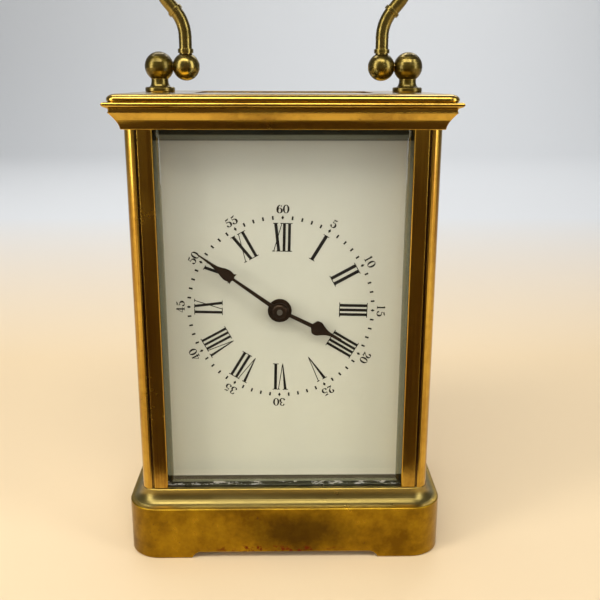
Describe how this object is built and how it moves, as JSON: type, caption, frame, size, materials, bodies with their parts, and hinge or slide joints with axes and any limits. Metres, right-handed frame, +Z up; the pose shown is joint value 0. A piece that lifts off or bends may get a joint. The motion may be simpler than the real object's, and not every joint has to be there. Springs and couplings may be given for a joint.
{
  "type": "carriage clock",
  "caption": "Glazed brass mantel clock with four pillars, a moulded plinth and cornice, a folding bail handle, a rear door, an enamel dial and a lever platform movement.",
  "frame": {"origin": "middle of the plinth's underside, on the surface that the clock stands on", "axes": "+Z up, the dial faces -Y, +X to the viewer's right"},
  "size_m": [0.0808, 0.0688, 0.1494],
  "materials": {
    "case_brass": "aged golden brass, tarnished, worn bright on its edges",
    "polished_brass": "turned and polished",
    "movement_brass": "straight-grained and lacquered",
    "wheel_brass": "cut wheels on steel arbors",
    "case_glass": "clear, bevelled, slightly green at its edges",
    "dial_enamel": "fired white enamel on copper with black printing",
    "dark_steel": "blued steel gone brown-black",
    "polished_steel": "polished steel",
    "screw_steel": "turned steel screws",
    "spring_steel": "tempered spring steel",
    "ruby": "red synthetic jewel"
  },
  "bodies": {
    "case": {"base_frame": "case_brass", "bottom_cover": "case_brass", "pillar_front_left": "case_brass", "pillar_front_right": "case_brass", "pillar_rear_left": "case_brass", "pillar_rear_right": "case_brass", "cornice": "case_brass", "top_plate": "case_brass", "top_glass": "case_glass", "top_glass_frame": "case_brass", "front_glass": "case_glass", "side_glass_left": "case_glass", "side_glass_right": "case_glass", "handle_post_left": "case_brass", "handle_post_right": "case_brass", "case_screws": "screw_steel", "cover_screws": "screw_steel", "dial_plate": "dial_enamel", "dial_feet": "movement_brass", "minute_wheel_stud": "polished_steel", "front_plate": "movement_brass", "back_plate": "movement_brass", "lower_bars": "movement_brass", "upper_bars": "movement_brass", "plate_screws": "screw_steel", "movement_screws": "screw_steel", "click_spring": "spring_steel", "platform_plate": "movement_brass", "escape_cocks": "movement_brass", "hairspring": "spring_steel", "balance_cock": "movement_brass", "jewels": "ruby", "escapement_screws": "screw_steel"},
    "handle": {"handle": "case_brass", "handle_pins": "polished_brass"},
    "door": {"door_frame": "case_brass", "door_glass": "case_glass", "door_knob": "polished_brass", "door_pins": "polished_steel"},
    "minute_hand": {"minute_hand": "dark_steel", "hand_collet": "dark_steel", "cannon_pinion": "polished_steel", "centre_arbor": "dark_steel"},
    "minute_wheel": {"minute_wheel": "wheel_brass"},
    "hour_hand": {"hour_hand": "dark_steel", "hour_wheel": "wheel_brass"},
    "contrate_wheel": {"contrate_wheel": "wheel_brass"},
    "third_wheel": {"third_wheel": "wheel_brass"},
    "centre_wheel": {"centre_wheel": "wheel_brass"},
    "second_wheel": {"second_wheel": "wheel_brass"},
    "barrel": {"barrel_drum": "movement_brass", "barrel_cover": "movement_brass", "mainspring": "spring_steel"},
    "escape_wheel": {"escape_wheel": "wheel_brass"},
    "pallet_lever": {"pallet_lever": "polished_steel"},
    "balance": {"balance_wheel": "wheel_brass"},
    "winding_arbor": {"barrel_arbor": "polished_steel", "ratchet_wheel": "polished_steel"},
    "click": {"click": "polished_steel"},
    "regulator": {"regulator_index": "polished_steel"}
  },
  "joints": [
    {"name": "handle_swing", "type": "hinge", "parent": "case", "child": "handle", "pos_m": [0, 0, 0.12265], "axis": [1, 0, 0], "range_deg": [-95, 95]},
    {"name": "door_swing", "type": "hinge", "parent": "case", "child": "door", "pos_m": [0.0282, 0.028, 0.063], "axis": [0, 0, -1], "range_deg": [0, 92]},
    {"name": "hand_setting", "type": "hinge", "parent": "case", "child": "minute_hand", "pos_m": [-0.00115, -0.02, 0.06405], "axis": [0, 1, 0], "continuous": true},
    {"name": "minute_wheel_spin", "type": "hinge", "parent": "case", "child": "minute_wheel", "pos_m": [0.00425, -0.018, 0.05761], "axis": [0, 1, 0], "continuous": true},
    {"name": "hour_hand_turn", "type": "hinge", "parent": "case", "child": "hour_hand", "pos_m": [-0.00115, -0.022, 0.06405], "axis": [0, 1, 0], "continuous": true},
    {"name": "centre_wheel_spin", "type": "hinge", "parent": "case", "child": "centre_wheel", "pos_m": [-0.00115, -0.009, 0.06405], "axis": [0, 1, 0], "continuous": true},
    {"name": "second_wheel_spin", "type": "hinge", "parent": "case", "child": "second_wheel", "pos_m": [0.00785, 0, 0.05243], "axis": [0, 1, 0], "continuous": true},
    {"name": "barrel_spin", "type": "hinge", "parent": "case", "child": "barrel", "pos_m": [-0.00115, 0, 0.03638], "axis": [0, 1, 0], "continuous": true},
    {"name": "third_wheel_spin", "type": "hinge", "parent": "case", "child": "third_wheel", "pos_m": [-0.00915, 0, 0.07286], "axis": [0, 1, 0], "continuous": true},
    {"name": "contrate_spin", "type": "hinge", "parent": "case", "child": "contrate_wheel", "pos_m": [-0.00115, 0, 0.08012], "axis": [0, 1, 0], "continuous": true},
    {"name": "escape_wheel_spin", "type": "hinge", "parent": "case", "child": "escape_wheel", "pos_m": [-0.00115, -0.00492, 0.095], "axis": [0, 0, 1], "continuous": true},
    {"name": "lever_swing", "type": "hinge", "parent": "case", "child": "pallet_lever", "pos_m": [0.00243, -0.00157, 0.095], "axis": [0, 0, 1], "range_deg": [-4, 4]},
    {"name": "balance_swing", "type": "hinge", "parent": "case", "child": "balance", "pos_m": [0.00741, 0.00306, 0.098], "axis": [0, 0, 1], "range_deg": [-200, 200], "stiffness_Nm_per_rad": 0.0000029},
    {"name": "winding", "type": "hinge", "parent": "case", "child": "winding_arbor", "pos_m": [-0.00115, 0.005, 0.03638], "axis": [0, 1, 0], "continuous": true},
    {"name": "click_lift", "type": "hinge", "parent": "case", "child": "click", "pos_m": [0.00768, 0.0137, 0.04148], "axis": [0, 1, 0], "range_deg": [0, 8], "stiffness_Nm_per_rad": 0.001},
    {"name": "regulator_turn", "type": "hinge", "parent": "case", "child": "regulator", "pos_m": [0.00741, 0.00306, 0.103], "axis": [0, 0, 1], "range_deg": [-20, 20]}
  ],
  "couplings": [
    {"joint": "minute_wheel_spin", "follows": "hand_setting", "ratio": -0.33333},
    {"joint": "hour_hand_turn", "follows": "hand_setting", "ratio": 0.083333},
    {"joint": "second_wheel_spin", "follows": "centre_wheel_spin", "ratio": -0.16667},
    {"joint": "barrel_spin", "follows": "centre_wheel_spin", "ratio": 0.025},
    {"joint": "third_wheel_spin", "follows": "centre_wheel_spin", "ratio": -7.5},
    {"joint": "contrate_spin", "follows": "centre_wheel_spin", "ratio": 60},
    {"joint": "escape_wheel_spin", "follows": "centre_wheel_spin", "ratio": -600}
  ]
}
